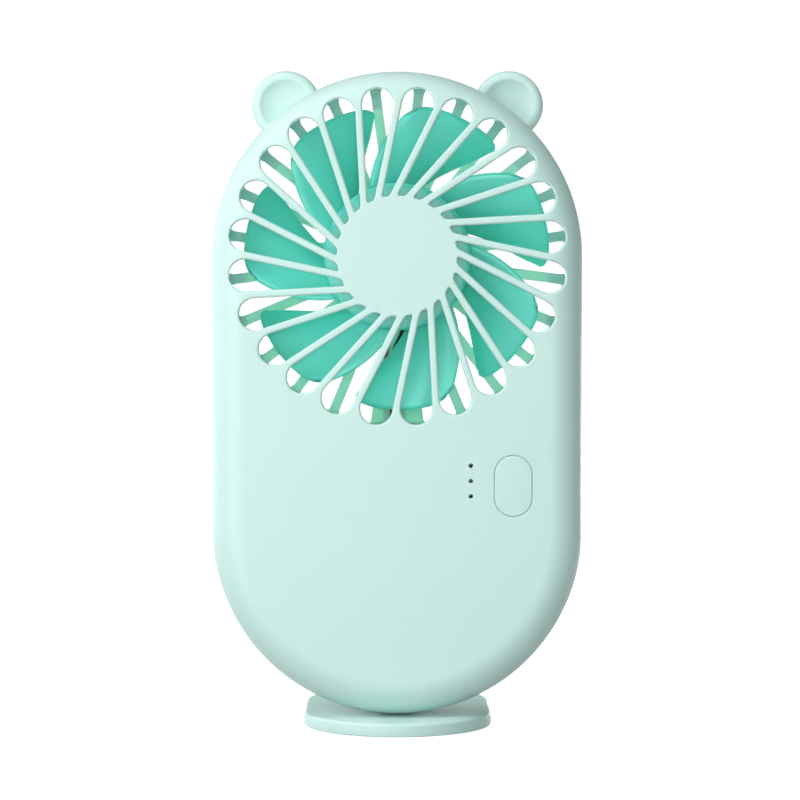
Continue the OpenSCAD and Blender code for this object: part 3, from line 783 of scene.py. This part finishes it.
def front_cover():
    button = middle_of("button_cap")
    cap_w, cap_l = cap_size()
    lights = middle_of("charge_lights")
    pitch = (size_of("charge_lights").z - LIGHT_L) / 2
    port = middle_of("usb_port")
    port_w = size_of("usb_port").z + PORT_GAP
    port_h = size_of("usb_port").y + PORT_GAP
    holes = [
        FrontSlots(),
        Bars([button[:2]], cap_w + BUTTON_HOLE_GAP, cap_l + BUTTON_HOLE_GAP, 0.2, 72),
        Bars([lights[:2] + [0, k * pitch] for k in (-1, 0, 1)], PINHOLE_D, PINHOLE_D, 0.1, 20),
    ]
    windows = [
        ("right", port[1] - port_w / 2, port[1] + port_w / 2,
         port[2] - port_h / 2, port[2] + port_h / 2),
        socket_window(),
    ]
    b = cover(holes, windows, 1)
    duct_ring(b, DUCT_FROM_SEAM, INNER_Z + BITE)
    piece("front_cover", b.points, b.faces, "front_shell", b.normals)


def socket_window():
    """The opening in the base that the socket for the stand's peg looks through."""
    socket = size_of("stand_socket")
    half_w = (socket.x - 2 * SOCKET_FLANGE) / 2 + SOCKET_GAP
    half_t = (socket.y - 2 * SOCKET_FLANGE) / 2 + SOCKET_GAP
    swing = math.degrees(math.asin(half_w / BODY_R))
    return ("bottom", 270 - swing, 270 + swing, 0.0, half_t)


def screw_boss(b, at):
    """A boss under the back face with a well for the screw's head and a hole for its shank."""
    under_face = -HALF_T + FACE_T - 0.2
    seat, end = -HALF_T + WELL_DEPTH, -HALF_T + BOSS_DEPTH
    path = [(WELL_R, under_face), (WELL_R, seat), (SCREW_HOLE_R, seat), (SCREW_HOLE_R, end),
            (BOSS_R, end), (BOSS_R, under_face), (WELL_R, under_face)]
    facing = [(-1, 0), (0, -1), (-1, 0), (0, 1), (1, 0), (0, -1)]
    for start, stop, n in zip(path, path[1:], facing):
        b.lathe([start, stop], [n, n], at, 48)


def rear_cover():
    screws = screw_places()
    holes = [BackSlots(), Bars(screws, 2 * WELL_R, 2 * WELL_R, 0.2, 40)]
    b = cover(holes, [socket_window()], -1)
    duct_ring(b, -INNER_Z - BITE, -DUCT_FROM_SEAM)
    for at in screws:
        screw_boss(b, at)
    for side in (-1, 1):
        x = CHANNEL_X + side * RIDGE_OFF
        bar(b, x - RIDGE_HALF_W, x + RIDGE_HALF_W, -INNER_R - BITE, -MOUNT_R - 0.2,
            -INNER_Z - BITE, -INNER_Z + RIDGE_H)
    obj = piece("rear_cover", b.points, b.faces, "rear_shell", b.normals)
    obj.data.materials.append(finish["thin_mint_plastic"])
    # The flat of the grille, where light comes through, takes the greener rib mint with its painted teal bounce
    # light.
    for face in obj.data.polygons:
        x, y, z = face.center / MM
        if y > INNER_Z - 0.05 and math.hypot(x, z - GRILLE_Z) < SLOT_REACH + THIN_BEYOND_SLOTS:
            face.material_index = 1


def bar(b, x0, x1, y0, y1, z0, z1):
    """A plain six-sided rib."""
    c = [(x, y, z) for z in (z0, z1) for y in (y0, y1) for x in (x0, x1)]
    sides = [((0, 2, 3, 1), (0, 0, -1)), ((4, 5, 7, 6), (0, 0, 1)), ((0, 1, 5, 4), (0, -1, 0)),
             ((2, 6, 7, 3), (0, 1, 0)), ((0, 4, 6, 2), (-1, 0, 0)), ((1, 3, 7, 5), (1, 0, 0))]
    for ids, n in sides:
        b.faces.append(tuple(b.add([c[i] for i in ids], [n] * 4)))


def screw_places():
    """Centres of the case screws, lying, from the boxes of the node's separate solids."""
    co = np.array([v.co for v in frame["nodes"]["case_screws"].data.vertices]) / MM
    flat = np.stack([co[:, 0], co[:, 2] - GRILLE_Z], 1)
    between = -50.0
    places = []
    for sx in (-1, 1):
        for upper in (True, False):
            own = flat[(np.sign(flat[:, 0]) == sx) & ((flat[:, 1] > between) == upper)]
            places.append((own.min(0) + own.max(0)) / 2)
    return places


# ---- Impeller -----------------------------------------------------------

BLADES = 7
BLADE_TIP = 27.5
BLADE_T = 1.1
BLADE_MID = 1.5
BLADE_RISE = 3.6
BLADE_CROWN = 0.9
BLADE_BITE = 0.4
CORNER_FROM, CORNER_CUT = 0.85, 1.6
TIP_ROUND_FROM = 0.93
LEAD_ANGLE, LEAD_SWEEP = 47.5, 25.0
TRAIL_ANGLE, TRAIL_SWEEP = 83.0, 30.0
HUB_R = 13.15
HUB_SKIN = 0.85
HUB_STEPS = 120
SHAFT_HOLE_R = 1.01


def blade_section(u, v):
    """Middle surface of a blade: u from hub to tip, v from leading to trailing edge."""
    root = HUB_R - BLADE_BITE
    lead = LEAD_ANGLE + LEAD_SWEEP * (1 - u) ** 1.8
    trail = TRAIL_ANGLE + TRAIL_SWEEP * (1 - u)
    corner = 1 - np.sqrt(np.maximum(1 - np.abs(2 * v - 1) ** 6, 0))
    draw = np.clip((u - CORNER_FROM) / (1 - CORNER_FROM), 0, 1) * corner * CORNER_CUT
    r = root + u * (BLADE_TIP - root) - draw
    a = np.radians(lead + v * (trail - lead))
    z = BLADE_MID + BLADE_RISE * (2 * v - 1) + BLADE_CROWN * np.sin(math.pi * v)
    return np.stack([r * np.cos(a), r * np.sin(a), z], -1)


def blade_mesh(b, turn):
    """A blade as closed rings round its section, closer together towards its tip."""
    cols = 28
    towards_tip = np.sin(np.linspace(0, math.pi / 2, 13)[1:])
    us = np.concatenate([np.linspace(0, 0.8, 14), 0.8 + 0.2 * towards_tip])
    phase = np.linspace(0, 2 * math.pi, 2 * cols, endpoint=False)
    vs = (1 - np.cos(phase)) / 2
    vs = np.clip(vs, 0.0005, 0.9995)
    which = np.where(phase < math.pi, 1.0, -1.0)
    round_off = np.power(1 - np.abs(2 * vs - 1) ** 10, 1 / 2.2)
    rings = []
    for u in us:
        p = blade_section(u, vs)
        du = blade_section(min(u + 0.004, 1.0), vs) - blade_section(u - 0.004, vs)
        dv = blade_section(u, vs + 0.002) - blade_section(u, vs - 0.002)
        n = np.cross(du, dv)
        n = n / np.linalg.norm(n, axis=1, keepdims=True)
        n = n * np.sign(n[:, 2:3])
        past = max((u - TIP_ROUND_FROM) / (1 - TIP_ROUND_FROM), 0)
        round_tip = math.sqrt(max(1 - past ** 2, 0.02))
        p = p + n * (which * (BLADE_T / 2 * round_off * round_tip))[:, None]
        p[:, :2] = turned(p[:, :2], turn)
        rings.append(b.add(p, np.zeros((len(p), 3))))
    for a, c in zip(rings, rings[1:]):
        b.strip(c, a)
    for ring, flip in ((rings[0], False), (rings[-1], True)):
        half = len(ring) // 2
        first = (ring[0], ring[1], ring[-1])
        cap = [(ring[i], ring[i + 1], ring[-i - 1], ring[-i]) for i in range(1, half - 1)]
        last = (ring[half - 1], ring[half], ring[half + 1])
        b.faces += [f[::-1] if flip else f for f in [first, *cap, last]]


def fan_wheel():
    """Cup hub with its blades."""
    b = Build()
    low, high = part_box("impeller")
    front, back = -low.y / MM, -high.y / MM
    round_front, round_back = 0.9, 0.25
    skin_r = HUB_R - HUB_SKIN
    boss_r, boss_back = 3, 3.3
    outside = [(0, front), (HUB_R - 1.6, front)]
    outside += arc(HUB_R - round_front, front - round_front, round_front, 90, 0, 9)
    outside += [(HUB_R, back + 0.3)]
    outside += arc(HUB_R - round_back, back + round_back, round_back, 0, -90, 4)
    inside = [(skin_r, back), (skin_r, front - 1.2), (boss_r, front - 1.2), (boss_r, boss_back),
              (SHAFT_HOLE_R, boss_back), (SHAFT_HOLE_R, front - 0.8), (0, front - 0.8)]
    profile = outside[::-1]
    b.lathe(profile, path_normals(profile), steps=HUB_STEPS)
    for a, c in zip(inside, inside[1:]):
        d = np.array(c) - np.array(a)
        n = np.array([-d[1], d[0]]) / max(np.linalg.norm(d), 1e-9)
        b.lathe([a, c], [-n, -n], steps=HUB_STEPS, flip=True)
    b.lathe([(skin_r, back), (HUB_R - round_back, back)], [(0, -1), (0, -1)], steps=HUB_STEPS)
    for i in range(BLADES):
        blade_mesh(b, i * 360 / BLADES)
    piece("fan_wheel", b.points, b.faces, "impeller", body="rotor")


# ---- Ears, button, stand -------------------------------------------------


EAR_X, EAR_Y = 20.0, 27.2
EAR_R = 6.2
EAR_BURIED = 0.7


def ear(side):
    """An ear, dished in front and behind. What lies inside the body is pushed out to just
    under its skin."""
    node = "ear_right" if side > 0 else "ear_left"
    half = size_of(node).y / 2
    bowl_r, depth, brim, outer = 4.45, 1.0, 0.6, 1.3
    front = [(bowl_r * t, half - 0.17 - depth * (1 - t ** 3.2)) for t in np.linspace(0, 1, 14)]
    front += arc(bowl_r + 0.4, half - brim, brim, 122, 90, 4)
    front += arc(EAR_R - outer, half - outer, outer, 82, 0, 12)
    profile = front + [(x, -z) for x, z in reversed(front)]
    profile = profile[::-1]
    b = Build()
    b.lathe(profile, path_normals(profile), np.array([side * EAR_X, EAR_Y]))
    p = np.array(b.points)
    flat = p[:, :2]
    reach = np.linalg.norm(flat, axis=1)
    limit = BODY_R - EAR_BURIED
    hidden = reach < limit
    p[hidden, :2] = flat[hidden] * (limit / reach[hidden])[:, None]
    piece(node + "_shell", p, b.faces, node, b.normals)


def bar_ring(w, l):
    """Outline of a round-ended bar whose long side runs along y."""
    half = 36
    top = along(np.linspace(0, 180, half)) * w / 2 + [0, (l - w) / 2]
    low = along(np.linspace(180, 360, half)) * w / 2 - [0, (l - w) / 2]
    return np.concatenate([top, low])


def stacked(b, rows, centre=(0, 0)):
    """Closed form from (outline, z) rows, bottom to top."""
    ids = []
    for ring, z in rows:
        p = np.column_stack([ring + centre, np.full(len(ring), z)])
        ids.append(b.add(p, np.zeros_like(p)))
    for a, c in zip(ids, ids[1:]):
        b.strip(a, c)
    b.faces.append(tuple(ids[0][::-1]))
    b.faces.append(tuple(ids[-1]))


def button():
    """The cap over its flange, with a rounded edge and a slightly crowned face."""
    w, l = cap_size()
    edge, crown = 0.28, 0.06
    flange = bar_ring(w + 2 * BUTTON_FLANGE, l + 2 * BUTTON_FLANGE)
    b = Build()
    rows = [(flange, INNER_Z - 0.9), (flange, INNER_Z - 0.1),
            (bar_ring(w, l), INNER_Z - 0.1), (bar_ring(w, l), HALF_T - edge)]
    for a in np.radians([25, 50, 75, 90]):
        drop = edge * (1 - math.cos(a))
        rows.append((bar_ring(w - 2 * drop, l - 2 * drop), HALF_T - edge + edge * math.sin(a)))
    for k in (0.75, 0.45, 0.15):
        rows.append((bar_ring((w - 0.6) * k, (l - 0.6) * k), HALF_T + crown * (1 - k * k)))
    stacked(b, rows, middle_of("button_cap")[:2])
    crease(piece("button_cover", b.points, b.faces, "button_cap", body="button"), 40)


def crease(obj, degrees):
    """Keeps edges sharper than this angle crisp."""
    bpy.context.view_layer.objects.active = obj
    for o in bpy.context.selected_objects:
        o.select_set(False)
    obj.select_set(True)
    bpy.ops.object.shade_auto_smooth(angle=math.radians(degrees))


def plate_ring(w, inset):
    """Outline of the stand's plate at an inset, in frame x and y, its front end around the
    peg's axis."""
    depth = size_of("stand_plate").y
    r = w / 2 - inset
    half = 72
    back = along(np.linspace(0, 180, half)) * r + [0, depth - w]
    front = along(np.linspace(180, 360, half)) * r
    return np.concatenate([back, front])


PEG_W, PEG_T = 6.0, 4.0
BODY_GAP = 0.3


def stand():
    """The plate with its rounded edges, and the peg on it."""
    low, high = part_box("stand_plate")
    w = (high.x - low.x) / MM
    pad_proud = low.z / MM
    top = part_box("rear_shell")[0].z / MM - BODY_GAP
    edge, foot = 0.55, 0.3
    b = Build()
    rows = [(plate_ring(w, 3.0), pad_proud), (plate_ring(w, foot), pad_proud)]
    for a in np.radians([-60, -30, 0]):
        rows.append((plate_ring(w, foot - foot * math.cos(a)),
                     pad_proud + foot + foot * math.sin(a)))
    for a in np.radians([0, 15, 30, 45, 60, 75, 90]):
        rows.append((plate_ring(w, edge - edge * math.cos(a)), top - edge + edge * math.sin(a)))
    rows += [(plate_ring(w, k), top) for k in (2.0, 5.0, 10.0)]
    stacked(b, rows)
    peg_top = high.z / MM
    peg = [(0.0, 1.0, top - 0.4), (0.0, 1.0, peg_top - 0.5), (0.3, 0.9, peg_top - 0.15),
           (0.8, 0.7, peg_top)]
    stacked(b, [(rounded_ring(PEG_W - less, PEG_T - less, r), z) for less, r, z in peg])
    crease(piece("stand_base", b.points, b.faces, "stand_plate", body="stand", lying=False), 40)


def rounded_ring(w, h, r):
    """Outline of a rectangle with round corners."""
    ring = []
    for cx, cy, a0 in ((1, 1, 0), (-1, 1, 90), (-1, -1, 180), (1, -1, 270)):
        centre = np.array([cx * (w / 2 - r), cy * (h / 2 - r)])
        ring += [centre + r * along(a) for a in np.linspace(a0, a0 + 90, 10)]
    return np.array(ring)


# ---- Scene ---------------------------------------------------------------

# Soft light that the world gives from every side, strongest from this direction.
AMBIENT_FROM = (-0.4, -1.0, 0.3)
AMBIENT_LOW = 0.2
AMBIENT_HIGH = 0.28
# What the camera sees of the world behind the fan.
BACKDROP = 1.05
FLOOR_R = 6.0
FLOOR_GLOW = 1.0
# Name, place, aim, size, watts and colour of each soft box.
LIGHTS = [
    ("key", (-0.18, -0.22, 0.09), (0.0, 0.0, 0.07), (0.1, 0.26), 0.48, (1.0, 0.96, 0.98)),
    ("side", (-0.4, -0.12, 0.4), (0.0, 0.0, 0.08), (0.3, 0.3), 1.1, (1.0, 0.8, 0.84)),
    ("top", (0.0, -0.25, 0.6), (0.0, 0.0, 0.08), (0.5, 0.3), 1.3, (1.0, 1.0, 1.0)),
    ("low", (0.06, -0.4, 0.02), (0.0, 0.0, 0.06), (0.5, 0.04), 0.2, (1.0, 1.0, 1.0)),
    ("fill", (0.0, -0.5, 0.09), (0.0, 0.0, 0.08), (0.06, 0.06), 0.5, (1.0, 1.0, 1.0)),
    ("back", (0.05, 0.5, 0.012), (0.0, 0.0, 0.12), (0.6, 0.02), 2.7, (1.0, 1.0, 1.0)),
    ("back_left", (-0.45, 0.3, 0.12), (0.0, 0.0, 0.08), (0.2, 0.3), 1.0, (1.0, 1.0, 1.0)),
]


def studio():
    """White world for the camera, soft grey light for the rest, a white floor and soft boxes."""
    scene = bpy.context.scene
    scene.view_settings.view_transform = "Standard"
    scene.view_settings.look = "None"
    world = bpy.data.worlds.new("studio")
    scene.world = world
    world.use_nodes = True
    t = world.node_tree
    back = t.nodes["Background"]
    back.inputs["Color"].default_value = (1, 1, 1, 1)
    direction = t.nodes.new("ShaderNodeTexCoord").outputs["Generated"]
    from_left = node_at(t, "ShaderNodeVectorMath", operation="DOT_PRODUCT")
    from_left.inputs[1].default_value = Vector(AMBIENT_FROM).normalized()
    t.links.new(direction, from_left.inputs[0])
    soft = ranged(t, from_left.outputs["Value"], AMBIENT_LOW, AMBIENT_HIGH, -1.0, 1.0)
    seen = t.nodes.new("ShaderNodeLightPath").outputs["Is Camera Ray"]
    level = t.nodes.new("ShaderNodeMix")
    level.inputs["B"].default_value = BACKDROP
    t.links.new(seen, level.inputs["Factor"])
    t.links.new(soft, level.inputs["A"])
    t.links.new(level.outputs["Result"], back.inputs["Strength"])

    white = bpy.data.materials.new("floor")
    white.use_nodes = True
    shader = white.node_tree.nodes["Principled BSDF"]
    shader.inputs["Base Color"].default_value = (0.8, 0.8, 0.8, 1)
    shader.inputs["Roughness"].default_value = 1.0
    shader.inputs["Specular IOR Level"].default_value = 0.0
    shader.inputs["Emission Color"].default_value = (1, 1, 1, 1)
    shader.inputs["Emission Strength"].default_value = FLOOR_GLOW
    ring = along(np.arange(64) * 360 / 64) * FLOOR_R
    mesh = bpy.data.meshes.new("floor")
    mesh.from_pydata([(x, y, 0.0) for x, y in ring], [], [tuple(range(64))])
    mesh.materials.append(white)
    floor = bpy.data.objects.new("floor", mesh)
    floor.visible_diffuse = False
    scene.collection.objects.link(floor)

    def panel(name, at, target, size, watts, colour):
        light = bpy.data.lights.new(name, "AREA")
        light.shape = "RECTANGLE"
        light.size, light.size_y = size
        light.energy = watts
        light.color = colour
        obj = bpy.data.objects.new(name, light)
        obj.location = at
        obj.rotation_euler = (Vector(target) - Vector(at)).to_track_quat("-Z", "Y").to_euler()
        obj.visible_camera = False
        scene.collection.objects.link(obj)

    for light in LIGHTS:
        panel(*light)


def camera():
    """Level camera in front, its axis below the grille's centre, shifted down to frame the fan."""
    data = bpy.data.cameras.new("camera")
    cam = bpy.data.objects.new("camera", data)
    distance = 503.0
    below_grille = 6.9
    cam.location = (0, -(HALF_T + distance) * MM, (GRILLE_Z - below_grille) * MM)
    cam.rotation_euler = (math.pi / 2, 0, 0)
    data.sensor_width = 36.0
    data.lens = 128.3
    data.shift_x = 0.0034
    data.shift_y = -0.131
    bpy.context.scene.collection.objects.link(cam)
    bpy.context.scene.camera = cam


camera()
coat_cad_nodes()
front_cover()
rear_cover()
fan_wheel()
for side in (-1, 1):
    ear(side)
button()
stand()
studio()
